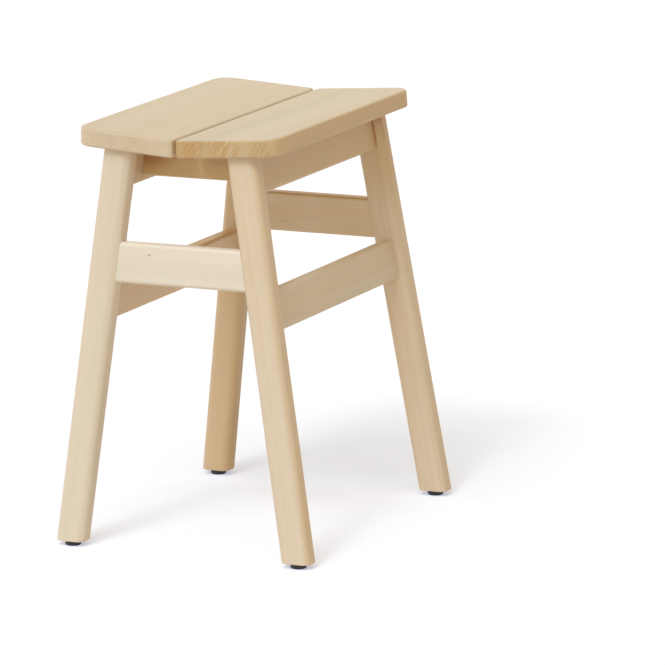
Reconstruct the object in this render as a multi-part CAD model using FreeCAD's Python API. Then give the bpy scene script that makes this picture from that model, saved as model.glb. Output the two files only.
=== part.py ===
import FreeCAD, Part
import math
import os

# A four-legged wooden stool with a seat of two planks that fall gently towards a gap in the middle.
# All sizes are in millimetres. X runs across the seat, Y along it and Z up. The origin is on the floor
# under the middle of the seat. Front is the end at -Y, and left is the side at -X.

# Seat planks
seat_height = 450.0
seat_width = 233.0
seat_length = 334.0
plank_gap = 4.4
plank_thickness = 19.0
plank_tilt_deg = 3.7
plank_outer_corner = 22.0
plank_inner_corner = 4.0
plank_edge_round = 2.5

# Legs: sections are level with the floor, and insets run from the seat's edges to a leg's middle line
# at the seat's height
leg_width = 33.8
leg_depth = 24.2
leg_corner_round = 9.0
leg_end_round = 1.2
leg_inset_across = 48.0
leg_inset_along = 21.7
leg_splay_across_deg = 8.32
leg_splay_along_deg = 2.84

# Glides under the legs, each held by a nail
glide_diameter = 17.4
glide_height = 5.5
glide_bevel = 1.0
nail_diameter = 3.0
nail_length = 20.0
nail_head_diameter = 7.0
nail_head_height = 1.2
nail_head_sink = 0.8

# Rails and aprons are one stock of board, set on the middle of the legs and leaning with them
board_thickness = 15.0
board_edge_round = 4.0
rail_height = 43.5
end_rail_middle = 307.5
side_rail_middle = 264.0

# Drops are measured from the lowest line of the seat's underside
apron_drop = 39.2
batten_drop = 32.1
batten_setback = 59.0
batten_thickness = 15.0
batten_edge_round = 3.0

# Dowels in the joints, and the wood left beyond them
dowel_diameter = 8.0
dowel_length = 30.0
dowel_pitch = 18.0
dowel_chamfer = 0.8
dowel_leg_wall = 9.0
dowel_apron_wall = 4.2

# Screws that hold the planks down on the battens, and the wood left round them
screw_diameter = 4.0
screw_head_diameter = 8.0
screw_head_height = 3.0
screw_head_sink = 1.7
screw_cover = 6.0
screw_edge_distance = 11.5
screw_dowel_wall = 3.0
point_length = 4.0
point_tip_diameter = 0.8

# Clearances
dowel_hole_clearance = 0.1
dowel_hole_relief = 1.0
nail_hole_clearance = 0.1
screw_hole_clearance = 0.2
screw_bore_clearance = 0.5

# A rounding stops just short of half of its wall
round_limit = 0.49

# Values that follow from the sizes
half_width = seat_width / 2
half_length = seat_length / 2
half_gap = plank_gap / 2
tilt = math.radians(plank_tilt_deg)
lean_across = math.radians(leg_splay_across_deg)
lean_along = math.radians(leg_splay_along_deg)

AXIS_X = FreeCAD.Vector(1, 0, 0)
AXIS_Y = FreeCAD.Vector(0, 1, 0)
AXIS_Z = FreeCAD.Vector(0, 0, 1)
ORIGIN = FreeCAD.Vector(0, 0, 0)
SIDES = {"left": -1, "right": 1}
ENDS = {"front": -1, "back": 1}
TOUCH = 1e-6


# Height of the seat's underside at a distance from the middle
def seat_underside(x):
    top = seat_height - (half_width - abs(x)) * math.tan(tilt)
    return top - plank_thickness / math.cos(tilt)


# Distances of a leg's middle line from the stool's middle planes at a height
def leg_x(z):
    return half_width - leg_inset_across + (seat_height - z) * math.tan(lean_across)


def leg_y(z):
    return half_length - leg_inset_along + (seat_height - z) * math.tan(lean_along)


# Heights and places that several pieces share
under_middle = seat_underside(0)
under_legs = seat_underside(leg_x(under_middle))
apron_bottom = under_middle - apron_drop
batten_bottom = under_middle - batten_drop
apron_middle = (apron_bottom + under_legs) / 2
batten_middle = (batten_bottom + under_legs) / 2
batten_y = half_length - batten_setback - batten_thickness / 2
apron_wide = board_thickness / math.cos(lean_across)
dowel_in_leg = leg_depth - dowel_hole_relief - dowel_leg_wall
dowel_in_apron = apron_wide - dowel_hole_relief - dowel_apron_wall


# A face with rounded corners, sized along u and along v
def rounded_face(centre, u, v, size_u, size_v, radius):
    radius = min(radius, round_limit * min(size_u, size_v))
    hu = size_u / 2
    hv = size_v / 2
    bend = radius * (1 - math.sqrt(0.5))
    edges = []
    points = []
    for su, sv in ((1, 1), (-1, 1), (-1, -1), (1, -1)):
        on_side = centre + u * (su * hu) + v * (sv * (hv - radius))
        on_top = centre + u * (su * (hu - radius)) + v * (sv * hv)
        middle = centre + u * (su * (hu - bend)) + v * (sv * (hv - bend))
        start, end = (on_side, on_top) if su == sv else (on_top, on_side)
        edges.append(Part.Arc(start, middle, end).toShape())
        points.append((start, end))
    for here, following in zip(points, points[1:] + points[:1]):
        edges.append(Part.LineSegment(here[1], following[0]).toShape())
    return Part.Face(Part.Wire(Part.__sortEdges__(edges)))


# Everything from the floor to the underside of the two planks
def space_under_seat():
    far = seat_width
    profile = [
        FreeCAD.Vector(-far, -seat_length, 0),
        FreeCAD.Vector(-far, -seat_length, seat_underside(far)),
        FreeCAD.Vector(0, -seat_length, under_middle),
        FreeCAD.Vector(far, -seat_length, seat_underside(far)),
        FreeCAD.Vector(far, -seat_length, 0),
    ]
    outline = Part.makePolygon(profile + profile[:1])
    return Part.Face(outline).extrude(AXIS_Y * (2 * seat_length))


def is_level(edge):
    heights = [v.Z for v in edge.Vertexes]
    return max(heights) - min(heights) < TOUCH


def joins(edge, first, second):
    found = [v.Point for v in edge.Vertexes]
    return all(any(point.isEqual(end, TOUCH) for point in found) for end in (first, second))


# The right plank is shaped flat with its outer top edge on the Y axis, then tilted and lifted. Its inner
# side leans while it is flat, so that it stands upright beside the gap once the plank is tilted
def right_plank():
    width = (half_width - half_gap) / math.cos(tilt)
    lower_width = width + plank_thickness * math.tan(tilt)
    outer_side = (FreeCAD.Vector(0, 0, 0), FreeCAD.Vector(0, 0, -plank_thickness))
    inner_side = (FreeCAD.Vector(-width, 0, 0), FreeCAD.Vector(-lower_width, 0, -plank_thickness))
    outline = outer_side + inner_side[::-1]
    section = Part.Face(Part.makePolygon(outline + outline[:1]))
    section.translate(AXIS_Y * -half_length)
    plank = section.extrude(AXIS_Y * seat_length)
    for end in (AXIS_Y * -half_length, AXIS_Y * half_length):
        for (top, bottom), radius in ((outer_side, plank_outer_corner), (inner_side, plank_inner_corner)):
            plank = plank.makeFillet(radius, [e for e in plank.Edges if joins(e, top + end, bottom + end)])
    radius = min(plank_edge_round, round_limit * plank_thickness, 2 * round_limit * plank_inner_corner)
    plank = plank.makeFillet(radius, [e for e in plank.Edges if is_level(e)])
    plank.rotate(ORIGIN, AXIS_Y, -plank_tilt_deg)
    plank.translate(FreeCAD.Vector(half_width, 0, seat_height))
    return plank


# A leg is one section carried along its leaning middle line up to the underside of its plank
def leg_blank(sx, sy):
    bottom = FreeCAD.Vector(sx * leg_x(glide_height), sy * leg_y(glide_height), glide_height)
    top = FreeCAD.Vector(sx * leg_x(seat_height), sy * leg_y(seat_height), seat_height)
    section = rounded_face(bottom, AXIS_X, AXIS_Y, leg_width, leg_depth, leg_corner_round)
    return section.extrude(top - bottom).common(space_under_seat())


def round_leg_end(leg):
    rim = [e for e in leg.Edges if is_level(e) and e.Vertexes[0].Z < glide_height + TOUCH]
    return leg.makeFillet(leg_end_round, rim)


# A board that runs along a side from leg to leg and leans with them
def side_board(sx, middle, height):
    outward = FreeCAD.Vector(sx * math.cos(lean_across), 0, math.sin(lean_across))
    upward = FreeCAD.Vector(-sx * math.sin(lean_across), 0, math.cos(lean_across))
    start = FreeCAD.Vector(sx * leg_x(middle), -leg_y(middle), middle)
    section = rounded_face(start, outward, upward, board_thickness, height, board_edge_round)
    return section.extrude(AXIS_Y * (2 * leg_y(middle)))


def side_rail_blank(sx):
    return side_board(sx, side_rail_middle, rail_height)


def end_rail_blank(sy):
    reach = leg_x(end_rail_middle)
    outward = FreeCAD.Vector(0, sy * math.cos(lean_along), math.sin(lean_along))
    upward = FreeCAD.Vector(0, -sy * math.sin(lean_along), math.cos(lean_along))
    start = FreeCAD.Vector(-reach, sy * leg_y(end_rail_middle), end_rail_middle)
    section = rounded_face(start, outward, upward, board_thickness, rail_height, board_edge_round)
    return section.extrude(AXIS_X * (2 * reach))


# Aprons and battens are made too tall and cut to the underside of the planks
def apron_blank(sx):
    height = (seat_height - apron_bottom) / math.cos(lean_across)
    middle = (seat_height + apron_bottom) / 2
    return side_board(sx, middle, height).common(space_under_seat())


def batten_blank(sy):
    reach = leg_x(seat_height)
    height = seat_height - batten_bottom
    start = FreeCAD.Vector(-reach, sy * batten_y, batten_bottom + height / 2)
    section = rounded_face(start, AXIS_Y, AXIS_Z, batten_thickness, height, batten_edge_round)
    return section.extrude(AXIS_X * (2 * reach)).common(space_under_seat())


# A dowel crosses the shoulder of a joint and goes into the leg or apron by a depth
class Dowel:
    def __init__(self, shoulder, inward, depth):
        self.start = shoulder - inward * (dowel_length - depth)
        self.inward = inward

    def solid(self):
        rod = Part.makeCylinder(dowel_diameter / 2, dowel_length, self.start, self.inward)
        return rod.makeChamfer(dowel_chamfer, [e for e in rod.Edges if e.Closed])

    def hole(self):
        start = self.start - self.inward * dowel_hole_relief
        length = dowel_length + 2 * dowel_hole_relief
        return Part.makeCylinder(dowel_diameter / 2 + dowel_hole_clearance, length, start, self.inward)


def dowel_heights(middle):
    return (middle - dowel_pitch / 2, middle + dowel_pitch / 2)


def end_rail_dowels(sx, sy):
    dowels = []
    for z in dowel_heights(end_rail_middle):
        shoulder = FreeCAD.Vector(sx * (leg_x(z) - leg_width / 2), sy * leg_y(z), z)
        dowels.append(Dowel(shoulder, AXIS_X * sx, dowel_in_leg))
    return dowels


def side_board_dowels(sx, sy, middle):
    dowels = []
    for z in dowel_heights(middle):
        shoulder = FreeCAD.Vector(sx * leg_x(z), sy * (leg_y(z) - leg_depth / 2), z)
        dowels.append(Dowel(shoulder, AXIS_Y * sy, dowel_in_leg))
    return dowels


def batten_dowels(sx, sy):
    dowels = []
    for z in dowel_heights(batten_middle):
        shoulder = FreeCAD.Vector(sx * (leg_x(z) - apron_wide / 2), sy * batten_y, z)
        dowels.append(Dowel(shoulder, AXIS_X * sx, dowel_in_apron))
    return dowels


# A head, a straight shank above it and a point, all upright; `seat` is where head and shank meet
def headed_pin(seat, head_diameter, head_height, diameter, length):
    neck = length - point_length
    head = Part.makeCylinder(head_diameter / 2, head_height, seat - AXIS_Z * head_height)
    shank = Part.makeCylinder(diameter / 2, neck, seat)
    point = Part.makeCone(diameter / 2, point_tip_diameter / 2, point_length, seat + AXIS_Z * neck)
    return head.fuse([shank, point]).removeSplitter()


# Screws are all as long as the inner ones need, so the outer heads are sunk a little deeper
screw_bite = plank_thickness - screw_cover
screw_inner_x = half_gap + screw_edge_distance
screw_inner_seat = batten_bottom + screw_head_sink + screw_head_height
screw_length = screw_bite + seat_underside(screw_inner_x) - screw_inner_seat
batten_dowel_end = leg_x(batten_middle) - apron_wide / 2 - (dowel_length - dowel_in_apron)
screw_bore_radius = screw_head_diameter / 2 + screw_bore_clearance
screw_outer_x = batten_dowel_end - dowel_hole_relief - screw_dowel_wall - screw_bore_radius


class Screw:
    def __init__(self, x, y):
        self.seat = FreeCAD.Vector(x, y, seat_underside(x) + screw_bite - screw_length)

    def solid(self):
        return headed_pin(self.seat, screw_head_diameter, screw_head_height, screw_diameter, screw_length)

    def hole(self):
        radius = screw_diameter / 2 + screw_hole_clearance
        return Part.makeCylinder(radius, screw_length + screw_hole_clearance, self.seat)

    def bore(self):
        mouth = FreeCAD.Vector(self.seat.x, self.seat.y, batten_bottom - screw_head_height)
        return Part.makeCylinder(screw_bore_radius, self.seat.z - mouth.z, mouth)


def screws_at(sx, sy):
    return [Screw(sx * x, sy * batten_y) for x in (screw_inner_x, screw_outer_x)]


# A glide is a disc on the end of a leg, and its nail's head is sunk in its underside
class Glide:
    def __init__(self, sx, sy):
        self.foot = FreeCAD.Vector(sx * leg_x(glide_height), sy * leg_y(glide_height), 0)
        self.seat = self.foot + AXIS_Z * (nail_head_sink + nail_head_height)

    def nail(self):
        return headed_pin(self.seat, nail_head_diameter, nail_head_height, nail_diameter, nail_length)

    def hole(self):
        radius = nail_diameter / 2 + nail_hole_clearance
        return Part.makeCylinder(radius, nail_length + nail_hole_clearance, self.seat)

    def solid(self):
        disc = Part.makeCylinder(glide_diameter / 2, glide_height, self.foot)
        rim = [e for e in disc.Edges if e.Closed and e.Vertexes[0].Z < TOUCH]
        radius = nail_head_diameter / 2 + nail_hole_clearance
        recess = Part.makeCylinder(radius, self.seat.z, self.foot)
        return disc.makeChamfer(glide_bevel, rim).cut([recess, self.hole()])


def holes(items):
    return [item.hole() for item in items]


# Each blank is cut to what it meets and drilled for what passes through it
def build():
    corners = [(sx, sy) for sx in SIDES.values() for sy in ENDS.values()]
    legs = {(sx, sy): leg_blank(sx, sy) for sx, sy in corners}
    aprons = {sx: apron_blank(sx) for sx in SIDES.values()}
    glides = {corner: Glide(*corner) for corner in corners}
    end_rail_set = {corner: end_rail_dowels(*corner) for corner in corners}
    side_rail_set = {corner: side_board_dowels(*corner, side_rail_middle) for corner in corners}
    apron_set = {corner: side_board_dowels(*corner, apron_middle) for corner in corners}
    batten_set = {corner: batten_dowels(*corner) for corner in corners}
    screw_set = {corner: screws_at(*corner) for corner in corners}
    nodes = {}

    for end, sy in ENDS.items():
        for side, sx in SIDES.items():
            corner = (sx, sy)
            dowels = end_rail_set[corner] + side_rail_set[corner] + apron_set[corner]
            drilled = holes(dowels + [glides[corner]])
            nodes["leg_%s_%s" % (end, side)] = round_leg_end(legs[corner]).cut(drilled)
            nodes["glide_%s_%s" % (end, side)] = glides[corner].solid()

    for side, sx in SIDES.items():
        front, back = (sx, -1), (sx, 1)
        pair = [legs[front], legs[back]]
        plank = right_plank() if sx > 0 else right_plank().mirror(ORIGIN, AXIS_X)
        nodes["seat_plank_" + side] = plank.cut(holes(screw_set[front] + screw_set[back]))
        drilled = holes(apron_set[front] + apron_set[back] + batten_set[front] + batten_set[back])
        nodes["apron_" + side] = aprons[sx].cut(pair + drilled)
        drilled = holes(side_rail_set[front] + side_rail_set[back])
        nodes["side_rail_" + side] = side_rail_blank(sx).cut(pair + drilled)

    for end, sy in ENDS.items():
        left, right = (-1, sy), (1, sy)
        drilled = holes(end_rail_set[left] + end_rail_set[right])
        nodes["end_rail_" + end] = end_rail_blank(sy).cut([legs[left], legs[right]] + drilled)
        screws = screw_set[left] + screw_set[right]
        drilled = holes(batten_set[left] + batten_set[right] + screws) + [screw.bore() for screw in screws]
        nodes["batten_" + end] = batten_blank(sy).cut(list(aprons.values()) + drilled)

    groups = {
        "end_rail_dowels": end_rail_set,
        "side_rail_dowels": side_rail_set,
        "apron_dowels": apron_set,
        "batten_dowels": batten_set,
        "seat_screws": screw_set,
    }
    for name, members in groups.items():
        nodes[name] = Part.makeCompound([item.solid() for corner in corners for item in members[corner]])
    nodes["glide_nails"] = Part.makeCompound([glides[corner].nail() for corner in corners])
    return nodes


def main():
    os.makedirs("parts", exist_ok=True)
    print("screws %.1f long, foot middles %.1f by %.1f apart" % (screw_length, 2 * leg_x(0), 2 * leg_y(0)))
    for name, shape in build().items():
        box = shape.BoundBox
        print("%-17s %d solids, valid %s, volume %7.0f, x %6.1f %6.1f, y %6.1f %6.1f, z %5.1f %5.1f" % (
            name, len(shape.Solids), shape.isValid(), shape.Volume,
            box.XMin, box.XMax, box.YMin, box.YMax, box.ZMin, box.ZMax))
        shape.exportStep("parts/%s.step" % name)


main()
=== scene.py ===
# %% [markdown]
# # A wooden stool with a seat of two planks
#
# The stool stands 450 mm high on four leaning legs. Its seat is two planks that fall gently to a
# gap in the middle, and boards join the legs on every side. All the wood is pale beech under a
# matt lacquer. A small black glide is nailed under each leg, and eight zinc plated screws come up
# through the two battens into the planks.
#
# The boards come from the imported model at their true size. This script gives them what a workshop
# would: eased edges, grain that runs the right way through every board, turned glides and real
# screws. Then it sets up a camera, a floor and soft light.

import math

import bmesh
import bpy
from mathutils import Matrix, Vector


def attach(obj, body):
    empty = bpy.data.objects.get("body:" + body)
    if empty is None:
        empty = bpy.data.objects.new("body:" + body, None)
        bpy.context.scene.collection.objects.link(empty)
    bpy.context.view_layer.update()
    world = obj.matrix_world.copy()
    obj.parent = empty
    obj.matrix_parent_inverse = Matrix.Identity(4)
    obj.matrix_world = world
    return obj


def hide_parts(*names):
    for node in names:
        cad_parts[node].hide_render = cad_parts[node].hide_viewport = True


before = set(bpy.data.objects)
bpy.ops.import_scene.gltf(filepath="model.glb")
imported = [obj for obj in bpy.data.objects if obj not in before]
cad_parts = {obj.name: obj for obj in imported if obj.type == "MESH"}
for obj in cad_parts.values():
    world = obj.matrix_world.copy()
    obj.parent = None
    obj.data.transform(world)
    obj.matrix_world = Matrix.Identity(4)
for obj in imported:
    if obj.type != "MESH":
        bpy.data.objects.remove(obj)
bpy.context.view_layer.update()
MM = 0.001
scene = bpy.context.scene

# %% [markdown]
# ## Camera
#
# The picture was taken from far away with a long lens, so upright edges stay nearly parallel. Such
# a camera can be placed by eye, by an empty that it tracks, or by three turns in a fixed order.
# The turns are used here, because a level, a pitch and a slight roll can then be set one at a
# time.

# %% Camera
camera_place = Vector((2.58583, -4.99209, 1.43809))
camera_heading_deg = 26.51
camera_pitch_deg = -12.39
camera_roll_deg = -1.37
picture_side_px = 665
focal_length_px = 5386.4
sensor_mm = 36.0


def make_camera():
    data = bpy.data.cameras.new("camera")
    data.sensor_width = sensor_mm
    data.lens = focal_length_px / picture_side_px * sensor_mm
    camera = bpy.data.objects.new("camera", data)
    heading = Matrix.Rotation(math.radians(camera_heading_deg), 4, "Z")
    pitch = Matrix.Rotation(math.radians(90 + camera_pitch_deg), 4, "X")
    roll = Matrix.Rotation(math.radians(camera_roll_deg), 4, "Z")
    camera.matrix_world = Matrix.Translation(camera_place) @ heading @ pitch @ roll
    scene.collection.objects.link(camera)
    scene.camera = camera
    print("camera lens: %.1f mm" % data.lens)


make_camera()

# %% [markdown]
# ## Writing shader maths as plain Python
#
# A material is a tree of nodes, and joining every Math node by hand soon hides the idea. A small
# class holds one output of a node. Adding or multiplying two of them adds the Math node and its
# links, so a formula reads as a formula. Every other kind of node comes from one method, which
# takes the node's type, its settings and what goes into its sockets.

# %% A socket that can be used in formulas
class Wire:
    def __init__(self, tree, socket):
        self.tree = tree
        self.socket = socket

    def node(self, kind, settings=None, inputs=None, output=0):
        made = self.tree.nodes.new(kind)
        for key, value in (settings or {}).items():
            if key == "stops":
                set_stops(made.color_ramp, value)
            else:
                setattr(made, key, value)
        for key, value in (inputs or {}).items():
            if isinstance(value, Wire):
                self.tree.links.new(value.socket, made.inputs[key])
            else:
                made.inputs[key].default_value = value
        return Wire(self.tree, made.outputs[output])

    def math(self, operation, *values):
        inputs = dict(enumerate(values))
        return self.node("ShaderNodeMath", {"operation": operation}, inputs)

    def __add__(self, other):
        return self.math("ADD", self, other)

    def __radd__(self, other):
        return self.math("ADD", other, self)

    def __sub__(self, other):
        return self.math("SUBTRACT", self, other)

    def __rsub__(self, other):
        return self.math("SUBTRACT", other, self)

    def __mul__(self, other):
        return self.math("MULTIPLY", self, other)

    def __rmul__(self, other):
        return self.math("MULTIPLY", other, self)

    def __truediv__(self, other):
        return self.math("DIVIDE", self, other)

    def __rtruediv__(self, other):
        return self.math("DIVIDE", other, self)

    def __abs__(self):
        return self.math("ABSOLUTE", self)

    def clamped(self):
        return self.node("ShaderNodeClamp", None, {"Value": self})


def set_stops(ramp, stops):
    while len(ramp.elements) > 1:
        ramp.elements.remove(ramp.elements[-1])
    ramp.elements[0].position = stops[0][0]
    ramp.elements[0].color = (stops[0][1],) * 3 + (1,)
    for position, level in stops[1:]:
        ramp.elements.new(position).color = (level,) * 3 + (1,)


print("shader formulas are ready")

# %% [markdown]
# ## Helpers that every finish shares
#
# A noise is stretched by scaling its coordinates, and it is easier to think in millimetres than in
# metres. So a pattern reads its place in millimetres, turned to the piece's own axes where it has
# some, and gets its size as a length along each axis.

# %% Noise, soft steps, colour mixes and a blank material
def vector_math(wire, operation, *values, output="Vector"):
    settings = {"operation": operation}
    return wire.node("ShaderNodeVectorMath", settings, dict(enumerate(values)), output)


def place_in_mm(start, centre=(0, 0, 0), turn=Matrix.Identity(3)):
    where = start.node("ShaderNodeTexCoord", None, None, "Object")
    inputs = {
        "Vector": where, "Location": centre, "Rotation": turn.to_euler(), "Scale": (MM, MM, MM)}
    return where.node("ShaderNodeMapping", {"vector_type": "TEXTURE"}, inputs)


def stretched(point, sizes, shift=0.0):
    scaled = vector_math(point, "MULTIPLY", point, tuple(1 / size for size in sizes))
    return vector_math(point, "ADD", scaled, (shift, shift, shift))


def noise(point, sizes, seed, detail=2.0, roughness=0.5, output="Fac"):
    inputs = {
        "Vector": stretched(point, sizes, seed), "Scale": 1.0, "Detail": detail,
        "Roughness": roughness}
    return point.node("ShaderNodeTexNoise", {"noise_dimensions": "3D"}, inputs, output)


def soft_step(value, low, high):
    settings = {"interpolation_type": "SMOOTHSTEP"}
    inputs = {"Value": value, "From Min": low, "From Max": high, "To Min": 0.0, "To Max": 1.0}
    return value.node("ShaderNodeMapRange", settings, inputs)


def mixed(share, first, second):
    settings = {"data_type": "RGBA", "clamp_factor": True}
    inputs = {0: share, 6: first, 7: second}
    return share.node("ShaderNodeMix", settings, inputs, 2)


def split(vector):
    return [vector.node("ShaderNodeSeparateXYZ", None, {0: vector}, axis) for axis in range(3)]


def colour(red, green, blue):
    return (red, green, blue, 1.0)


def blank_material(name):
    material = bpy.data.materials.new(name)
    material.use_nodes = True
    tree = material.node_tree
    tree.nodes.clear()
    start = Wire(tree, None)
    return material, start


def finish_material(start, shader):
    outlet = start.tree.nodes.new("ShaderNodeOutputMaterial")
    start.tree.links.new(shader.socket, outlet.inputs["Surface"])


print("pattern helpers are ready")

# %% [markdown]
# ## Which way each board grew
#
# Grain makes or breaks painted wood. On a real board the lines on its face, its edge and its end
# all belong to the same growth rings, and they run along the board, also where it leans. An image
# wrapped on each face can't do that. So the wood here is a solid: the rings are long nested tubes
# round a pith line beside the board, and each face simply shows where it cuts them.
#
# For this each board needs its own axes. They are found from the board's mesh: the direction in
# which its surface spreads furthest is the grain, the next is its width, and the last its
# thickness.

# %% Find a board's own axes
axis_rounds = 60
grain_guess = (0.3, 0.5, 0.7)
width_guess = (0.7, 0.3, 0.5)


def spread_of(mesh):
    total = 0.0
    centre = Vector((0, 0, 0))
    for face in mesh.polygons:
        centre += face.center * face.area
        total += face.area
    centre /= total
    spread = [[0.0] * 3 for _ in range(3)]
    for face in mesh.polygons:
        arm = face.center - centre
        for row in range(3):
            for column in range(3):
                spread[row][column] += face.area * arm[row] * arm[column] / total
    return centre, Matrix(spread)


def strongest_axis(spread, guess):
    axis = Vector(guess)
    for _ in range(axis_rounds):
        axis = (spread @ axis).normalized()
    return axis


def board_axes(node):
    centre, spread = spread_of(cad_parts[node].data)
    grain = strongest_axis(spread, grain_guess)
    if max(grain, key=abs) < 0:
        grain = -grain
    across = Matrix.Identity(3) - Matrix([[a * b for b in grain] for a in grain])
    width = strongest_axis(across @ spread @ across, width_guess)
    if max(width, key=abs) < 0:
        width = -width
    turn = Matrix([grain, width, grain.cross(width)]).transposed()
    return centre, turn


for shown in ("seat_plank_left", "leg_front_left", "end_rail_front", "apron_right"):
    print(shown, "grain runs along", [round(c, 3) for c in board_axes(shown)[1].col[0]])

# %% [markdown]
# ## How each board was cut
#
# No two boards come from the same place in the trunk. For each, two numbers say where the pith
# lies beside the board's middle, in millimetres along its width and its thickness. A far pith
# gives straight lines and a near one gives arches. Another number is the width of a year's ring,
# also in millimetres. The rest are shares: how much darker than the palest board it is, how much
# warmer (below 0 it is cooler), how strongly its rings and its streaks show, how much darker and
# warmer its sawn ends are than its faces, and how much darker and warmer its edges are drawn. The
# edges' tone is painted shade on side faces that lie in shade. Where the share is below 0 it is
# painted light instead, as in the gap between the seat planks. The boards in shade under the seat
# are drawn darker and warmer than the rest. This is partly their own wood and partly painted shade
# for the warm light that bounces between them.

# %% Cuts
class Cut:
    def __init__(self, pith, dark, warm, rings=1.0, seed=0.0, streaks=1.0, ring_width=2.6,
                 end=0.10, end_warm=0.1, end_rings=0.8, edge=0.0, edge_shade_warm=0.0):
        self.pith = pith
        self.dark = dark
        self.warm = warm
        self.rings = rings
        self.seed = seed
        self.streaks = streaks
        self.ring_width = ring_width
        self.end = end
        self.end_warm = end_warm
        self.end_rings = end_rings
        self.edge = edge
        self.edge_shade_warm = edge_shade_warm


# The edge shares below are painted shade on side faces that lie in shade, and painted light where
# they are below 0.
cuts = {
    "seat_plank_left": Cut(
        pith=(-35, -95), dark=0.52, warm=-0.20, rings=0.5, seed=1.7,
        end=-0.03, end_rings=0.25, edge=-0.3, edge_shade_warm=0.5),
    "seat_plank_right": Cut(
        pith=(-150, -88), dark=0.51, warm=-0.25, rings=0.8, seed=4.1, ring_width=3.9,
        end=0.28, end_warm=0.20, end_rings=2.4, edge=0.22, edge_shade_warm=0.62),
    "leg_front_left": Cut(
        pith=(70, 40), dark=0.22, warm=0.0, rings=0.8, seed=7.3, streaks=1.4,
        edge=-0.08, edge_shade_warm=0.1),
    "leg_front_right": Cut(
        pith=(55, -60), dark=0.34, warm=0.15, rings=0.9, seed=9.9, streaks=1.4, edge_shade_warm=0.3),
    "leg_back_left": Cut(
        pith=(-80, 30), dark=0.55, warm=0.35, rings=0.8, seed=12.5, streaks=2.2),
    "leg_back_right": Cut(
        pith=(-45, -70), dark=0.22, warm=0.28, rings=0.9, seed=15.2, streaks=1.6),
    "end_rail_front": Cut(
        pith=(20, 120), dark=0.0, warm=-0.03, rings=0.3, seed=18.4, streaks=0.5),
    "end_rail_back": Cut(
        pith=(60, 80), dark=0.12, warm=0.35, rings=0.8, seed=21.0, streaks=1.8,
        edge=1.0, edge_shade_warm=0.4),
    "side_rail_left": Cut(
        pith=(-40, 75), dark=0.16, warm=0.55, rings=0.8, seed=24.6, streaks=1.8,
        edge=0.5, edge_shade_warm=0.3),
    "side_rail_right": Cut(
        pith=(30, 65), dark=0.30, warm=0.20, rings=0.9, seed=27.1, streaks=1.5),
    "apron_left": Cut(
        pith=(50, -90), dark=0.45, warm=0.35, rings=0.8, seed=30.7, streaks=1.5),
    "apron_right": Cut(
        pith=(-25, 60), dark=0.54, warm=0.45, rings=0.9, seed=33.3, streaks=1.5),
    # The front batten's dark, warm tone is partly its own wood and partly painted shade, for the
    # seat's shadow over it.
    "batten_front": Cut(
        pith=(30, -70), dark=0.72, warm=0.50, rings=0.8, seed=36.8, streaks=1.8),
    "batten_back": Cut(
        pith=(-30, 85), dark=0.50, warm=0.30, rings=0.8, seed=39.2),
}
print(len(cuts), "boards have a cut")

# %% [markdown]
# ## Marks in the wood, and painted shade
#
# A pin knot and some reddish streaks break up the even wood. Other spots are painted shade under
# the seat: a darker, warmer top on each back leg, and the seat's shadow across the front batten.
# Each is a soft oval spot with a place on the stool, a length along the grain and a width across
# it, all in millimetres. A spot could be painted on an image, but as a distance in the board's own
# axes it needs no unwrapping and stays put.

# %% Marks and painted shade
mark_brown = colour(0.16, 0.07, 0.03)
# This rust colour paints real streaks and end-grain strokes, and also painted shade under the seat.
rust_streak_and_shade = colour(0.47, 0.19, 0.07)
# This gold is painted shade only.
shade_gold = colour(0.60, 0.38, 0.16)
mark_core = 0.2
knot_place = (-36.0, -159.4, 317.9)


class Spot:
    def __init__(self, place_mm, length, width, strength, paint=rust_streak_and_shade):
        self.place = Vector(place_mm) * MM
        self.length = length
        self.width = width
        self.strength = strength
        self.paint = paint

    def on(self, board, centre, turn):
        middle = turn.transposed() @ (self.place - centre) / MM
        arm = vector_math(board, "SUBTRACT", board, middle)
        arm = stretched(arm, (self.length / 2, self.width / 2, self.width / 2))
        reach = vector_math(arm, "LENGTH", arm, output="Value")
        return (1 - soft_step(reach, mark_core, 1.0)) * self.strength


marks_and_shade = {
    "end_rail_front": [
        Spot(knot_place, 3.0, 2.2, 0.85, mark_brown),
        Spot(knot_place, 18.0, 6.0, 0.12),
    ],
    "end_rail_back": [
        Spot((-31.0, 145.2, 297.0), 34.0, 2.2, 0.30),
        Spot((2.0, 145.0, 303.0), 40.0, 1.8, 0.16),
    ],
    "leg_back_right": [
        # Painted shade: a broad golden darkening of the leg's upper part, under the seat.
        Spot((92.0, 142.0, 400.0), 220.0, 90.0, 0.45, shade_gold),
        Spot((88.5, 138.0, 426.0), 40.0, 22.0, 0.70),
        Spot((83.0, 135.2, 408.0), 64.0, 5.0, 0.75),
        Spot((92.5, 142.0, 404.0), 30.0, 8.0, 0.30),
    ],
    "leg_back_left": [
        # Painted shade: the top of the leg, under the seat, drawn darker and redder.
        Spot((-68.0, 136.5, 402.0), 110.0, 26.0, 0.60),
    ],
    "side_rail_left": [
        Spot((-86.0, 122.0, 280.0), 60.0, 30.0, 0.20),
    ],
    # Painted shadow: the seat's front edge shades the batten's face, most on the left.
    "batten_front": [
        Spot((-60.0, -108.2, 413.0), 80.0, 34.0, 0.60),
        Spot((-20.0, -108.2, 418.0), 90.0, 20.0, 0.45),
        Spot((30.0, -108.2, 412.0), 80.0, 22.0, 0.25),
    ],
}
print("marks:", sum(len(found) for found in marks_and_shade.values()))

# %% [markdown]
# ## What beech shows
#
# Beech is pale and close grained. From a step away it shows soft bands along the board, streaks in
# the bands, and fibres as fine as hairs. Short brown flecks are rays that run out from the pith:
# on a face that cuts the rings flat they are dashes, on an end they are fine spokes. Each of these
# is one noise, stretched to its own size in millimetres. One table holds them all, so that a
# pattern can be made longer or finer without a hunt through the material.

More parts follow.
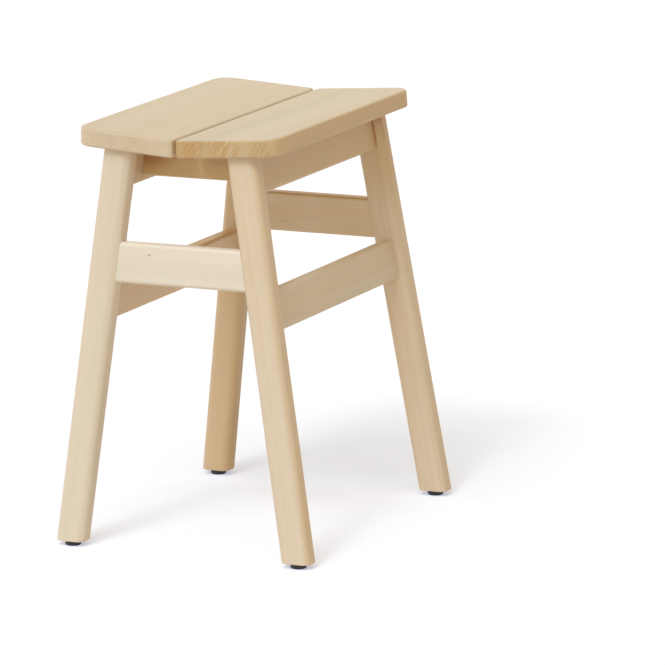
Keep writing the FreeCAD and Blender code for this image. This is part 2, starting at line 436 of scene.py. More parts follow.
# %% Patterns in beech
class Pattern:
    def __init__(self, size, shift=0, detail=2.0, roughness=0.5):
        self.size = size
        self.shift = shift
        self.detail = detail
        self.roughness = roughness

    def on(self, point, cut, output="Fac"):
        seed = cut.seed + self.shift
        return noise(point, self.size, seed, self.detail, self.roughness, output)


patterns = {
    "sway": Pattern((260, 60, 60)),
    "drift": Pattern((500, 24, 24), 5),
    "flecks": Pattern((3.0, 0.8, 7.0), 0, 1.0),
    "bands": Pattern((700, 34, 34), 9),
    "streaks": Pattern((160, 4.5, 4.5), 13, 3.0, 0.6),
    "fibres": Pattern((34, 0.8, 0.8), 17, 2.0, 0.6),
    "warmth": Pattern((500, 26, 26), 23),
    "strokes": Pattern((300, 1.0, 1.7), 31, 1.0),
    "clusters": Pattern((90, 11, 200), 33, 1.0),
}
print("pattern sizes:", {name: pattern.size for name, pattern in patterns.items()})

# %% [markdown]
# ## Growth rings
#
# Each year's wood starts pale and ends in a thin darker line. Those lines are circles round the
# pith, so the distance from it, counted in years with the whole ones dropped, runs from 0 to 1 in
# every ring, and a ramp turns that into the line. Rings made of this alone would look drawn with
# compasses. Two slow noises bend the pith and make some years wider than others.

# %% Growth rings
ring_sway = 14.0
drift_years = 2.5
year_profile = [(0.0, 0.5), (0.07, 0.1), (0.4, 0.0), (0.75, 0.3), (0.95, 1.0), (1.0, 0.5)]


class Rings:
    def __init__(self, board, cut):
        self.along, wide, thick = split(board)
        sway = split(patterns["sway"].on(board, cut, "Color"))
        pith_wide = wide + (sway[1] - 0.5) * ring_sway - cut.pith[0]
        pith_thick = thick + (sway[2] - 0.5) * ring_sway - cut.pith[1]
        square = pith_wide * pith_wide + pith_thick * pith_thick
        self.distance = square.math("SQRT", square)
        self.angle = square.math("ARCTAN2", pith_thick, pith_wide)
        years = self.distance / cut.ring_width + patterns["drift"].on(board, cut) * drift_years
        year = years.math("FRACT", years)
        self.late = year.node("ShaderNodeValToRGB", {"stops": year_profile}, {0: year})

    def polar(self, arc_radius):
        inputs = {0: self.along, 1: self.angle * arc_radius, 2: self.distance}
        return self.along.node("ShaderNodeCombineXYZ", None, inputs)


print("a ring's line is darkest at", max(year_profile, key=lambda stop: stop[1])[0], "of its year")

# %% [markdown]
# ## Sawn ends and edges
#
# End grain drinks more lacquer, so it is darker and its rings stand out. The wood near the heart
# is the oldest, and there an end also shows rust-coloured strokes that follow the rings and stand
# in loose clusters. The tone of an edge is painted shade, for side faces that lie in shade. Masks
# painted by hand would have to be redone for every change of shape. Here the face's own direction,
# compared with the board's axes, tells an end or an edge from a face.

# %% Sawn ends and edges
end_facing = (0.55, 0.92)
edge_facing = (0.40, 0.90)
mean_pith_distance = 90.0
stroke_arc_radius = 7.5
stroke_range = (0.45, 0.70)
cluster_range = (0.34, 0.58)
heart_range = (145.0, 205.0)
late_share = 0.45
stroke_share = 0.40
least_between_clusters = 0.2
least_in_young_wood = 0.15


def facing_along(facing, axis, limits):
    return soft_step(abs(vector_math(facing, "DOT_PRODUCT", facing, axis, output="Value")), *limits)


def at_least(least, share):
    return least + share * (1 - least)


def end_lines(board, rings, cut):
    round_pith = rings.polar(stroke_arc_radius)
    strokes = soft_step(patterns["strokes"].on(round_pith, cut), *stroke_range)
    clusters = soft_step(patterns["clusters"].on(board, cut), *cluster_range)
    old_wood = 1 - soft_step(rings.distance, *heart_range)
    lines = rings.late * late_share + strokes * stroke_share
    lines = lines * at_least(least_between_clusters, clusters)
    return lines * at_least(least_in_young_wood, old_wood)


print("a face counts as an end from", end_facing, "along the grain")

# %% [markdown]
# ## The finished beech
#
# One ramp from pale to dark would give every board the same wood, only lighter or darker. Real
# boards also differ in warmth, and the two don't go together. So the patterns add up to two
# shares. The first mixes a pale colour with a deep one, and the second mixes in a warm tint, or a
# cool one below 0. The same patterns feed the bump and the roughness, so a dark line is also a
# fine groove. The matt lacquer over it all is the shader's coat.

# %% How the patterns add up
fleck_range = (0.60, 0.72)
height_shares = {"fibres": 0.6, "late": 0.35, "flecks": 0.3}
roughness_shares = {"fibres": 0.14, "flecks": -0.05}


def tone_shares(cut):
    return {
        "bands": 0.30, "streaks": 0.14 * cut.streaks, "fibres": 0.08, "flecks": 0.05,
        "late": 0.035 * cut.rings}


def grain_of(board, rings, cut):
    rays = rings.polar(mean_pith_distance)
    grain = {name: patterns[name].on(board, cut) - 0.5 for name in ("bands", "streaks", "fibres")}
    grain["flecks"] = soft_step(patterns["flecks"].on(rays, cut), *fleck_range)
    grain["late"] = rings.late
    return grain


def added_up(grain, shares):
    return sum(grain[name] * share for name, share in shares.items())


print("tone shares of the front batten:", tone_shares(cuts["batten_front"]))

# %% Beech material
pale_beech = colour(0.82, 0.74, 0.63)
deep_beech = colour(0.53, 0.34, 0.14)
warm_beech = colour(0.77, 0.52, 0.26)
cool_beech = colour(0.44, 0.42, 0.28)
end_smoothness = 0.05
warmth_spread = 0.5
streak_warmth = 0.35
end_rust = 0.28
wood_roughness = 0.48
end_roughness = 0.10
wood_relief = 0.12 * MM
wood_bump = 0.25
lacquer = {"IOR": 1.47, "Coat Weight": 0.12, "Coat Roughness": 0.38}


def beech_paint(board, cut, grain, end, edge, lines):
    # The edge term is painted shade where side faces lie in shade, and painted light where the
    # share is below 0.
    tone = cut.dark + added_up(grain, tone_shares(cut)) + edge * cut.edge
    tone = tone + end * (cut.end + lines * cut.end_rings - grain["fibres"] * end_smoothness)
    warm = cut.warm + (patterns["warmth"].on(board, cut) - 0.5) * warmth_spread
    warm = warm + grain["streaks"] * (streak_warmth * cut.streaks)
    # Warmer edges are painted shade too, standing in for warm light bounced into the shade.
    warm = warm + edge * cut.edge_shade_warm + end * cut.end_warm
    rust = end * lines * (end_rust * cut.end_rings)
    paint = mixed(tone.clamped(), pale_beech, deep_beech)
    paint = mixed(warm.clamped(), paint, warm_beech)
    paint = mixed((0 - warm).clamped(), paint, cool_beech)
    return mixed(rust.clamped(), paint, rust_streak_and_shade)


def beech(node, cut, spots=(), axes=None):
    material, start = blank_material("beech_" + node)
    centre, turn = axes or board_axes(node)
    board = place_in_mm(start, centre, turn)
    facing = start.node("ShaderNodeTexCoord", None, None, "Normal")
    end = facing_along(facing, turn.col[0], end_facing)
    edge = facing_along(facing, turn.col[1], edge_facing)
    rings = Rings(board, cut)
    grain = grain_of(board, rings, cut)
    paint = beech_paint(board, cut, grain, end, edge, end_lines(board, rings, cut))
    # Spots paint knots and streaks in the wood, and also painted shade under the seat.
    for spot in spots:
        paint = mixed(spot.on(board, centre, turn), paint, spot.paint)

    height = added_up(grain, height_shares)
    inputs = {"Strength": wood_bump, "Distance": wood_relief, "Height": height}
    bump = height.node("ShaderNodeBump", None, inputs)
    roughness = wood_roughness + added_up(grain, roughness_shares) + end * end_roughness
    inputs = {"Base Color": paint, "Roughness": roughness, "Normal": bump, **lacquer}
    finish_material(start, start.node("ShaderNodeBsdfPrincipled", None, inputs))
    return material


print("beech runs from", pale_beech[:3], "to", deep_beech[:3])

# %% [markdown]
# ## Boards with eased edges
#
# Straight from the model, every edge that a cutter left is a perfect line, and two boards that
# meet have no seam. A joiner runs sandpaper over each piece before it is glued, which leaves an
# edge that catches light and a hairline groove along every joint. A Bevel modifier does this. It
# needs a mesh whose triangles share their corners, so a copy is merged and its flat faces joined
# up first.

# %% Ease a board's edges
merge_distance = 0.002 * MM
flat_angle_deg = 0.3
sharp_angle_deg = 28.0
eased_edge = 0.35 * MM
eased_segments = 2


def applied(piece, name):
    evaluated = piece.evaluated_get(bpy.context.evaluated_depsgraph_get())
    mesh = bpy.data.meshes.new_from_object(evaluated)
    mesh.name = name
    bpy.data.objects.remove(piece)
    made = bpy.data.objects.new(name, mesh)
    scene.collection.objects.link(made)
    return made


def merged_copy(node):
    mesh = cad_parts[node].data.copy()
    work = bmesh.new()
    work.from_mesh(mesh)
    bmesh.ops.remove_doubles(work, verts=work.verts, dist=merge_distance)
    limit = math.radians(flat_angle_deg)
    bmesh.ops.dissolve_limit(work, angle_limit=limit, verts=work.verts, edges=work.edges)
    bare = bpy.data.meshes.new(node + "_bare")
    work.to_mesh(bare)
    work.free()
    bare.shade_smooth()
    piece = bpy.data.objects.new(node + "_bare", bare)
    scene.collection.objects.link(piece)
    return piece


def eased_board(node, material):
    piece = merged_copy(node)
    bevel = piece.modifiers.new("eased", "BEVEL")
    bevel.width = eased_edge
    bevel.segments = eased_segments
    bevel.limit_method = "ANGLE"
    bevel.angle_limit = math.radians(sharp_angle_deg)
    bevel.harden_normals = False
    weigh = piece.modifiers.new("weighed", "WEIGHTED_NORMAL")
    weigh.keep_sharp = True
    board = applied(piece, "wood_" + node)
    board.data.materials.clear()
    board.data.materials.append(material)
    return board


def dress_board(node):
    board = eased_board(node, beech(node, cuts[node], marks_and_shade.get(node, ())))
    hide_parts(node)
    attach(board, "root")
    return board


boards = [dress_board(node) for node in cuts]
print("boards:", {board.name: len(board.data.polygons) for board in boards})

# %% [markdown]
# ## Zinc and moulded plastic
#
# Zinc plate is a bright metal that has gone slightly cloudy, with faint warm and cool patches from
# its dip. The glides are hard black plastic. Fresh from the mould they have a fine even grain, and
# their lower rim goes grey and dull where it rubs on floors. Both could be one flat colour, but
# noise at two sizes is what makes them look like something that was made and then used.

# %% Zinc and plastic materials
bright_zinc = colour(0.66, 0.67, 0.68)
cloudy_zinc = colour(0.50, 0.49, 0.45)
zinc_cloud_size = (3.0, 3.0, 3.0)
zinc_speck_size = (0.35, 0.35, 0.35)
moulded_black = colour(0.012, 0.012, 0.014)
scuffed_grey = colour(0.075, 0.072, 0.068)
plastic_grain_size = (0.22, 0.22, 0.22)
scuff_size = (2.4, 2.4, 0.5)
scuff_range = (0.2, 1.3)
plastic_ior = 1.5
fine_relief = 0.03 * MM


def fine_bump(height, strength):
    inputs = {"Strength": strength, "Distance": fine_relief, "Height": height}
    return height.node("ShaderNodeBump", None, inputs)


def zinc():
    material, start = blank_material("zinc_plated_steel")
    place = place_in_mm(start)
    clouds = noise(place, zinc_cloud_size, seed=3.3, detail=3.0, roughness=0.6)
    specks = noise(place, zinc_speck_size, seed=8.1, roughness=0.6)
    paint = mixed(soft_step(clouds, 0.35, 0.70), bright_zinc, cloudy_zinc)
    roughness = 0.24 + clouds * 0.16 + specks * 0.08
    bump = fine_bump(specks, strength=0.3)
    inputs = {"Base Color": paint, "Metallic": 1.0, "Roughness": roughness, "Normal": bump}
    finish_material(start, start.node("ShaderNodeBsdfPrincipled", None, inputs))
    return material


def black_plastic():
    material, start = blank_material("moulded_black_plastic")
    place = place_in_mm(start)
    grain = noise(place, plastic_grain_size, seed=5.7, roughness=0.6)
    scuffs = noise(place, scuff_size, seed=9.4, detail=3.0, roughness=0.7)
    low = 1 - soft_step(split(place)[2], *scuff_range)
    worn = low * soft_step(scuffs, 0.42, 0.60)
    paint = mixed(worn * 0.8, moulded_black, scuffed_grey)
    roughness = 0.38 + grain * 0.16 + worn * 0.25
    bump = fine_bump(grain, strength=0.35)
    inputs = {"Base Color": paint, "Roughness": roughness, "Normal": bump, "IOR": plastic_ior}
    finish_material(start, start.node("ShaderNodeBsdfPrincipled", None, inputs))
    return material


zinc_plate = zinc()
glide_black = black_plastic()
print("finishes:", zinc_plate.name, glide_black.name)

# %% [markdown]
# ## Turned shapes
#
# A screw's head, a nail and a glide are all turned: a line that runs from the axis out and back,
# spun once round. Real turned parts have no knife-sharp corners, so each corner of the line
# carries a radius and is replaced by a short arc. The two ends on the axis become single points,
# which closes the shape.

# %% Spin a line with rounded corners
full_turn = 2 * math.pi
round_steps = 4
pole_radius = 0.0005 * MM
turned_sharp_deg = 38.0


class Corner:
    def __init__(self, radius, height, rounding=0.0):
        self.place = Vector((radius, height))
        self.rounding = rounding


def rounded_line(corners):
    line = [corners[0].place]
    for before, corner, after in zip(corners, corners[1:], corners[2:]):
        if corner.rounding == 0:
            line.append(corner.place)
            continue
        back = (before.place - corner.place).normalized() * corner.rounding
        on = (after.place - corner.place).normalized() * corner.rounding
        for step in range(round_steps + 1):
            share = step / round_steps
            weights = ((1 - share) ** 2, share ** 2)
            line.append(corner.place + back * weights[0] + on * weights[1])
    line.append(corners[-1].place)
    return line


def turned(name, corners, sides):
    mesh = bpy.data.meshes.new(name)
    work = bmesh.new()
    rings = []
    angles = [full_turn * side / sides for side in range(sides)]
    for point in rounded_line(corners):
        radius, height = point * MM
        if radius < pole_radius:
            rings.append([work.verts.new((0, 0, height))] * sides)
            continue
        places = [(radius * math.cos(angle), radius * math.sin(angle), height) for angle in angles]
        rings.append([work.verts.new(place) for place in places])
    for low, high in zip(rings, rings[1:]):
        for side in range(sides):
            after = (side + 1) % sides
            found = dict.fromkeys((low[side], low[after], high[after], high[side]))
            if len(found) > 2:
                work.faces.new(found)
    bmesh.ops.remove_doubles(work, verts=work.verts, dist=merge_distance)
    bmesh.ops.recalc_face_normals(work, faces=work.faces)
    work.to_mesh(mesh)
    work.free()
    mesh.shade_smooth()
    mesh.set_sharp_from_angle(angle=math.radians(turned_sharp_deg))
    piece = bpy.data.objects.new(name, mesh)
    scene.collection.objects.link(piece)
    return piece


print("each rounded corner has %d steps" % round_steps)

# %% [markdown]
# ## One tree that sets parts out
#
# Glides, nails, screws and dowels repeat. Copies could be placed in a loop, or by an Array
# modifier, but the places here follow the frame and not a grid. A Geometry Nodes tree suits that:
# it takes a finished shape and a cloud of points, lays the shape along the wanted axis at each
# point, and gives each copy its own turn about that axis, because nobody lines up the slots of
# screws. The seed keeps the turns the same on every run.

# %% Build the tree
def new_tree(name, sockets):
    tree = bpy.data.node_groups.new(name, "GeometryNodeTree")
    tree.interface.new_socket("Geometry", in_out="OUTPUT", socket_type="NodeSocketGeometry")
    for title, kind in sockets.items():
        tree.interface.new_socket(title, in_out="INPUT", socket_type="NodeSocket" + kind)
    given = tree.nodes.new("NodeGroupInput")
    return tree, {title: Wire(tree, given.outputs[title]) for title in sockets}


def end_tree(tree, geometry, finish):
    real = geometry.node("GeometryNodeRealizeInstances", None, {"Geometry": geometry})
    done = geometry.node("GeometryNodeSetMaterial", None, {"Geometry": real, "Material": finish})
    tree.links.new(done.socket, tree.nodes.new("NodeGroupOutput").inputs[0])


def input_names(tree):
    return [item.name for item in tree.interface.items_tree if item.in_out == "INPUT"]


def set_out_tree():
    tree, given = new_tree("set_out", {
        "Points": "Geometry", "Shape": "Object", "Lay": "Rotation",
        "Spin": "Float", "Seed": "Int", "Finish": "Material"})
    points = given["Points"]
    shape = points.node("GeometryNodeObjectInfo", None, {"Object": given["Shape"]}, "Geometry")
    inputs = {3: given["Spin"], "Seed": given["Seed"]}
    spin = points.node("FunctionNodeRandomValue", {"data_type": "FLOAT"}, inputs, 1)
    inputs = {"Axis": (0, 0, 1), "Angle": spin}
    spin = points.node("FunctionNodeAxisAngleToRotation", None, inputs)
    inputs = {"Rotation": given["Lay"], "Rotate By": spin}
    turn = points.node("FunctionNodeRotateRotation", {"rotation_space": "LOCAL"}, inputs)
    inputs = {"Points": points, "Instance": shape, "Rotation": turn}
    end_tree(tree, points.node("GeometryNodeInstanceOnPoints", None, inputs), given["Finish"])
    return tree


def run_tree(tree, name, points, values):
    cloud = bpy.data.meshes.new(name + "_points")
    cloud.from_pydata(points, [], [])
    piece = bpy.data.objects.new(name + "_points", cloud)
    scene.collection.objects.link(piece)
    modifier = piece.modifiers.new(tree.name, "NODES")
    modifier.node_group = tree
    for item in tree.interface.items_tree:
        if item.in_out == "INPUT" and item.name in values:
            modifier[item.identifier] = values[item.name]
    return applied(piece, name)


set_out = set_out_tree()
print("the tree's inputs:", input_names(set_out))

# %% [markdown]
# ## Places for the small parts
#
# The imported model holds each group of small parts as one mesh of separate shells. Walking from
# corner to corner along the edges finds one shell at a time, and its box gives the place. So the
# screws and dowels sit exactly where the model has them, with no numbers copied by hand.

# %% Find the shells of a group
def shell_boxes(node):
    work = bmesh.new()
    work.from_mesh(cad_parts[node].data)
    bmesh.ops.remove_doubles(work, verts=work.verts, dist=merge_distance)
    waiting = dict.fromkeys(work.verts)
    boxes = []
    while waiting:
        shell = [waiting.popitem()[0]]
        for vert in shell:
            for edge in vert.link_edges:
                other = edge.other_vert(vert)
                if other in waiting:
                    del waiting[other]
                    shell.append(other)
        sides = [[vert.co[axis] for vert in shell] for axis in range(3)]
        low = Vector([min(side) for side in sides])
        high = Vector([max(side) for side in sides])
        boxes.append((low, high))
    work.free()
    return sorted(boxes, key=lambda box: tuple(round(c / MM) for c in box[0]))


def standing_places(node):
    boxes = shell_boxes(node)
    return [((low.x + high.x) / 2, (low.y + high.y) / 2, low.z) for low, high in boxes]


def middle_places(node):
    return [tuple((low + high) / 2) for low, high in shell_boxes(node)]


def set_out_parts(name, node, places, shape, finish, lay=(0, 0, 0), spin=0.0, seed=1):
    values = {"Shape": shape, "Lay": lay, "Spin": spin, "Seed": seed, "Finish": finish}
    piece = run_tree(set_out, name, places, values)
    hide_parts(node)
    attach(piece, "root")
    print("%s: %d set out, %d faces" % (name, len(places), len(piece.data.polygons)))


screw_places = standing_places("seat_screws")
print("screw places in millimetres:", [[round(c / MM, 1) for c in place] for place in screw_places])

# %% [markdown]
# ## Glides
#
# Each glide is a hard plastic disc, 17.4 mm wide and 5.5 mm high, with a nail through its middle.
# Its rim is rounded so that it slides over a threshold, and a fine step near the top hides the
# joint with the wood. The nail's head lies in a recess underneath, off the floor, with a shallow
# groove round it. A cylinder with a bevel would give every edge the same radius, while a turned
# line gives each its own.

# %% Glides
glide_radius = 8.7
glide_height = 5.5
glide_round = 1.7
glide_foot_inset = 0.15
glide_recess_radius = 3.6
glide_recess_depth = 2.0
glide_hole_radius = 1.6
groove_inner = 5.2
groove_outer = 6.4
groove_depth = 0.35
groove_slope = 0.3
step_low = 4.2
step_high = 4.9
step_depth = 0.35
step_slope = 0.15
collar_radius = glide_radius - 0.05
glide_sides = 64

glide_line = [
    Corner(glide_hole_radius, glide_height),
    Corner(glide_hole_radius, glide_recess_depth),
    Corner(glide_recess_radius, glide_recess_depth, 0.25),
    Corner(glide_recess_radius, 0.0, 0.5),
    Corner(groove_inner, 0.0, 0.15),
    Corner(groove_inner + groove_slope, groove_depth, 0.12),
    Corner(groove_outer - groove_slope, groove_depth, 0.12),
    Corner(groove_outer, 0.0, 0.15),
    Corner(glide_radius - glide_foot_inset, 0.0, glide_round),
    Corner(glide_radius, step_low, 0.12),
    Corner(glide_radius - step_depth, step_low + step_slope, 0.08),
    Corner(glide_radius - step_depth, step_high - step_slope, 0.08),
    Corner(collar_radius, step_high, 0.12),
    Corner(collar_radius, glide_height, 0.2),
    Corner(glide_hole_radius, glide_height),
]
glide_shape = turned("glide_shape", glide_line, glide_sides)
glides = [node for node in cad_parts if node.startswith("glide_") and node != "glide_nails"]
for glide in glides:
    place = standing_places(glide)
    set_out_parts("turned_" + glide, glide, place, glide_shape, glide_black)
bpy.data.objects.remove(glide_shape)

# %% [markdown]
# ## Nails
#
# A glide's nail has a broad low head, a round shank and a cut point. It is seen only from below, so
# a plain rod might pass, but the turned line is there already and gives it a real head.

# %% Glide nails
nail_head_radius = 3.5
nail_head_height = 1.2
nail_face_radius = 1.9
nail_dimple = 0.12
nail_face_drop = 0.1
nail_radius = 1.5
nail_length = 20.0
nail_point = 3.6
nail_sides = 40

nail_line = [
    Corner(0.0, nail_dimple),
    Corner(nail_face_radius, 0.0, 0.6),
    Corner(nail_head_radius, nail_face_drop, 0.5),
    Corner(nail_head_radius, nail_head_height, 0.15),
    Corner(nail_radius, nail_head_height, 0.12),
    Corner(nail_radius, nail_head_height + nail_length - nail_point, 0.4),
    Corner(0.0, nail_head_height + nail_length),
]
nail_shape = turned("nail_shape", nail_line, nail_sides)
nail_places = standing_places("glide_nails")
set_out_parts("steel_nails", "glide_nails", nail_places, nail_shape, zinc_plate)
bpy.data.objects.remove(nail_shape)

# %% [markdown]
# ## Seat screws
#
# A seat screw is turned like the nail, with a domed head, a plain neck that lets the joint pull
# tight and a core that ends in a point. Two things are not turned. The cross in the head is cut
# out by a Boolean with a tapered plus shape. The thread is a ridge along a helix, which a second
# small tree makes from a Spiral curve and a three-sided profile, so its pitch and its height stay
# plain inputs.

# %% Cross cutter
cross_half_slot = 0.68
# Each level of the cutter is a height in millimetres and a share of the cross's size.
cross_levels = ((-0.4, 1.12), (1.9, 0.55))
cross_corner = ((3, 1), (1, 1), (1, 3))
cross_sides = []
for quarter in range(4):
    for x, y in cross_corner:
        for _ in range(quarter):
            x, y = -y, x
        cross_sides.append((x, y))


def cross_cutter():
    work = bmesh.new()
    levels = []
    for height, size in cross_levels:
        reach = cross_half_slot * size * MM
        ring = [(x * reach, y * reach, height * MM) for x, y in cross_sides]
        levels.append([work.verts.new(place) for place in ring])
    for side in range(len(cross_sides)):
        after = (side + 1) % len(cross_sides)
        work.faces.new((levels[0][side], levels[0][after], levels[1][after], levels[1][side]))
    work.faces.new(levels[0])
    work.faces.new(levels[1])
    bmesh.ops.recalc_face_normals(work, faces=work.faces)
    mesh = bpy.data.meshes.new("cross_cutter")
    work.to_mesh(mesh)
    work.free()
    cutter = bpy.data.objects.new("cross_cutter", mesh)
    scene.collection.objects.link(cutter)
    return cutter


print("the cross has %d corners" % len(cross_sides))

# %% Thread tree
helix_steps = 14
ridge_sides = 3
swell_power = 14.0


def thread_tree():
    tree, given = new_tree("thread", {
        "Points": "Geometry", "Radius": "Float", "Pitch": "Float", "Turns": "Float",
        "Ridge": "Float", "Finish": "Material"})
    inputs = {
        "Resolution": helix_steps, "Rotations": given["Turns"], "Start Radius": given["Radius"],
        "End Radius": given["Radius"], "Height": given["Turns"] * given["Pitch"]}
    helix = given["Radius"].node("GeometryNodeCurveSpiral", None, inputs)
    helix = helix.node("GeometryNodeSetCurveNormal", {"mode": "Z_UP"}, {"Curve": helix})
    inputs = {"Resolution": ridge_sides, "Radius": given["Ridge"]}
    ridge = helix.node("GeometryNodeCurvePrimitiveCircle", {"mode": "RADIUS"}, inputs)
    inputs = {"Geometry": ridge, "Rotation": (0, 0, math.pi)}
    ridge = helix.node("GeometryNodeTransform", None, inputs)
    share = helix.node("GeometryNodeSplineParameter")
    middle = abs(share * 2 - 1)
    swell = 1 - middle.math("POWER", middle, swell_power)
    inputs = {"Curve": helix, "Profile Curve": ridge, "Scale": swell, "Fill Caps": True}
    coil = helix.node("GeometryNodeCurveToMesh", None, inputs)
    inputs = {"Points": given["Points"], "Instance": coil}
    end_tree(tree, coil.node("GeometryNodeInstanceOnPoints", None, inputs), given["Finish"])
    return tree


thread = thread_tree()
print("the thread's inputs:", input_names(thread))

# %% Seat screws
screw_head_radius = 4.0
screw_head_height = 3.0
screw_dome_radius = 2.2
screw_dome_drop = 0.05
screw_rim_height = 1.3
screw_neck_radius = 2.0
screw_core_radius = 1.5
screw_neck_length = 10.0
screw_shoulder = 0.6
screw_point = 4.0
screw_pitch = 1.7
screw_ridge = 0.4
screw_ridge_lift = 0.1
screw_run_out = 1.0
screw_sides = 48
screw_seed = 7
screw_low, screw_high = shell_boxes("seat_screws")[0]
screw_top = (screw_high.z - screw_low.z) / MM
screw_neck_top = screw_head_height + screw_neck_length

screw_line = [
    Corner(0.0, 0.0),
    Corner(screw_dome_radius, screw_dome_drop, 0.8),
    Corner(screw_head_radius, screw_rim_height, 0.9),
    Corner(screw_head_radius, screw_head_height, 0.2),
    Corner(screw_neck_radius, screw_head_height, 0.25),
    Corner(screw_neck_radius, screw_neck_top, 0.3),
    Corner(screw_core_radius, screw_neck_top + screw_shoulder, 0.3),
    Corner(screw_core_radius, screw_top - screw_point, 0.6),
    Corner(0.0, screw_top),
]


def make_screw():
    screw = turned("screw_shape", screw_line, screw_sides)
    cutter = cross_cutter()
    cut = screw.modifiers.new("cross", "BOOLEAN")
    cut.object = cutter
    cut.solver = "EXACT"
    screw = applied(screw, "screw_shape")
    bpy.data.objects.remove(cutter)
    start = screw_neck_top + screw_run_out
    turns = (screw_top - screw_point - start + screw_run_out) / screw_pitch
    values = {
        "Radius": (screw_core_radius + screw_ridge_lift) * MM, "Pitch": screw_pitch * MM,
        "Turns": turns, "Ridge": screw_ridge * MM, "Finish": zinc_plate}
    coil = run_tree(thread, "screw_thread", [(0, 0, start * MM)], values)
    work = bmesh.new()
    for part in (screw, coil):
        work.from_mesh(part.data)
    work.to_mesh(screw.data)
    work.free()
    bpy.data.objects.remove(coil)
    return screw


screw_shape = make_screw()
set_out_parts(
    "steel_screws", "seat_screws", screw_places, screw_shape, zinc_plate,
    spin=full_turn, seed=screw_seed)
bpy.data.objects.remove(screw_shape)

# %% [markdown]
# ## Dowels
#
# The dowels are hidden in their joints, but someone who takes the stool apart will see them. A
# joiner's dowel is fluted: fine grooves run along it so that air and spare glue can get out of the
# hole, and both ends are bevelled so that it starts easily. Grooves cut out one by one would be
# slow. Here every third point of a ring lies a little nearer the axis, which draws them all.

# %% Fluted dowels
dowel_radius = 4.0
dowel_length = 30.0
dowel_bevel = 0.8
flute_depth = 0.25
flute_count = 20
flute_points = 3
dowel_seed = 50.0


def make_dowel():
    work = bmesh.new()
    half = dowel_length / 2
    full = half - dowel_bevel
    levels = ((-half, dowel_bevel), (-full, 0.0), (full, 0.0), (half, dowel_bevel))
    rings = []
    for height, inset in levels:
        ring = []
        for point in range(flute_count * flute_points):
            angle = full_turn * point / (flute_count * flute_points)
            groove = flute_depth if point % flute_points == 0 else 0.0
            radius = dowel_radius - max(groove, inset)
            place = (radius * math.cos(angle) * MM, radius * math.sin(angle) * MM, height * MM)
            ring.append(work.verts.new(place))
        rings.append(ring)
    for low, high in zip(rings, rings[1:]):
        for side in range(len(low)):
            after = (side + 1) % len(low)
            work.faces.new((low[side], low[after], high[after], high[side]))
    work.faces.new(rings[0])
    work.faces.new(rings[-1])
    bmesh.ops.recalc_face_normals(work, faces=work.faces)
    mesh = bpy.data.meshes.new("dowel_shape")
    work.to_mesh(mesh)
    work.free()
    dowel = bpy.data.objects.new("dowel_shape", mesh)
    scene.collection.objects.link(dowel)
    return dowel


quarter_turn = math.radians(90)
dowel_lays = {
    "end_rail_dowels": (0, quarter_turn, 0),
    "batten_dowels": (0, quarter_turn, 0),
    "side_rail_dowels": (quarter_turn, 0, 0),
    "apron_dowels": (quarter_turn, 0, 0),
}
dowel_shape = make_dowel()
for number, (group, lay) in enumerate(dowel_lays.items()):
    axes = Matrix.Rotation(quarter_turn, 3, "Z") if lay[0] else Matrix.Identity(3)
    cut = Cut(pith=(40, 30), dark=0.3, warm=0.1, seed=dowel_seed + number)
    wood = beech(group, cut, (), (Vector((0, 0, 0)), axes))
    places = middle_places(group)
    set_out_parts(
        "fluted_" + group, group, places, dowel_shape, wood, lay, full_turn, number)
bpy.data.objects.remove(dowel_shape)

# %% [markdown]
# ## Floor and light
#
# The stool stands on a plain pale floor, in soft light from above its front end. Lamps can be
# small and near, big and near, or so far away that their light is even everywhere. The last kind
# is used, because the near and far legs of the real stool are almost equally bright. Each lamp's
# angle says how much of the sky it fills, and a wide one gives shadows with soft edges.
#
# The white surround isn't made with more light, which would bleach the wood. Only rays that come
# straight from the camera, or by a reflection, find the floor a little brighter and the sky white.

# %% Rays that see the surround
def seen_directly(start):
    kinds = ("Camera", "Glossy", "Transmission")
    rays = [start.node("ShaderNodeLightPath", None, None, "Is %s Ray" % kind) for kind in kinds]
    return sum(rays).clamped()


print("the surround is white for camera, glossy and transmission rays")

# %% Floor
floor_radius = 14.0
floor_sides = 96
floor_white = colour(0.86, 0.80, 0.73)
camera_lift = colour(0.30, 0.375, 0.50)


def make_floor():
    mesh = bpy.data.meshes.new("floor")
    work = bmesh.new()
    bmesh.ops.create_circle(work, cap_ends=True, segments=floor_sides, radius=floor_radius)
    work.to_mesh(mesh)
    work.free()
    floor = bpy.data.objects.new("floor", mesh)
    scene.collection.objects.link(floor)
    material, start = blank_material("pale_floor")
    matt = start.node("ShaderNodeBsdfDiffuse", None, {"Color": floor_white})
    inputs = {"Color": camera_lift, "Strength": seen_directly(start)}
    lift = start.node("ShaderNodeEmission", None, inputs)
    finish_material(start, start.node("ShaderNodeAddShader", None, {0: matt, 1: lift}))
    mesh.materials.append(material)


make_floor()
print("floor radius: %.0f m" % floor_radius)

# %% Sky
sky_tint = colour(1.0, 0.72, 0.32)
sky_strength = 0.17
sky_white = colour(1.0, 1.0, 1.0)


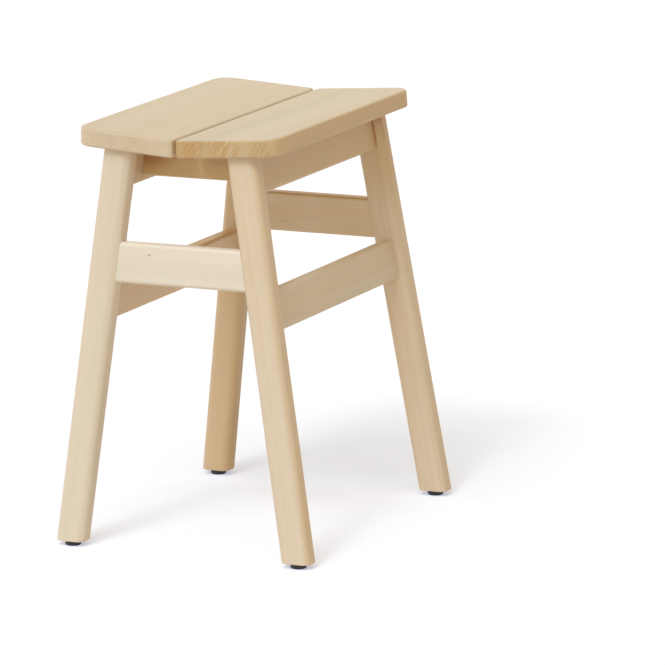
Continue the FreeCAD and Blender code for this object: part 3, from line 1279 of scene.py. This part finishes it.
def make_sky():
    world = bpy.data.worlds.new("sky")
    world.use_nodes = True
    world.node_tree.nodes.clear()
    start = Wire(world.node_tree, None)
    soft = start.node("ShaderNodeBackground", None, {"Color": sky_tint, "Strength": sky_strength})
    white = start.node("ShaderNodeBackground", None, {"Color": sky_white, "Strength": 1.0})
    both = start.node("ShaderNodeMixShader", None, {0: seen_directly(start), 1: soft, 2: white})
    outlet = world.node_tree.nodes.new("ShaderNodeOutputWorld")
    world.node_tree.links.new(both.socket, outlet.inputs["Surface"])
    scene.world = world


make_sky()
print("sky strength: %.2f" % sky_strength)

# %% Lamps
# A lamp of strength 1 shows a surface that faces it in the surface's own colour.
class Lamp:
    def __init__(self, name, azimuth_deg, height_deg, angle_deg, strength, tint):
        self.name = name
        self.azimuth = math.radians(azimuth_deg)
        self.height = math.radians(height_deg)
        self.angle = math.radians(angle_deg)
        self.strength = strength
        self.tint = tint

    def hang(self):
        data = bpy.data.lights.new(self.name, "SUN")
        data.energy = math.pi * self.strength
        data.angle = self.angle
        data.color = self.tint
        lamp = bpy.data.objects.new(self.name, data)
        level = Vector((math.sin(self.azimuth), -math.cos(self.azimuth), 0)) * math.cos(self.height)
        back = level + Vector((0, 0, math.sin(self.height)))
        lamp.rotation_mode = "QUATERNION"
        lamp.rotation_quaternion = back.to_track_quat("Z", "Y")
        scene.collection.objects.link(lamp)


front_deg = 0
front_height_deg = 49
front_tint = (0.75, 0.82, 1.0)
lamps = [
    Lamp("key_lamp", front_deg, front_height_deg, 32, 0.35, front_tint),
    Lamp("narrow_lamp", front_deg, front_height_deg, 8, 0.13, front_tint),
    Lamp("broad_lamp", front_deg, front_height_deg, 95, 0.40, (0.86, 0.925, 0.85)),
    Lamp("right_lamp", 70, 38, 60, 0.08, (1.0, 0.78, 0.28)),
    Lamp("left_lamp", -80, 15, 40, 0.13, (1.0, 0.95, 0.90)),
    Lamp("back_lamp", 180, 30, 60, 0.18, (1.0, 0.80, 0.50)),
]
for lamp in lamps:
    lamp.hang()
print("lamps:", {lamp.name: lamp.strength for lamp in lamps})

# %% Show colours as they are written
scene.view_settings.view_transform = "Standard"
print("view transform:", scene.view_settings.view_transform)
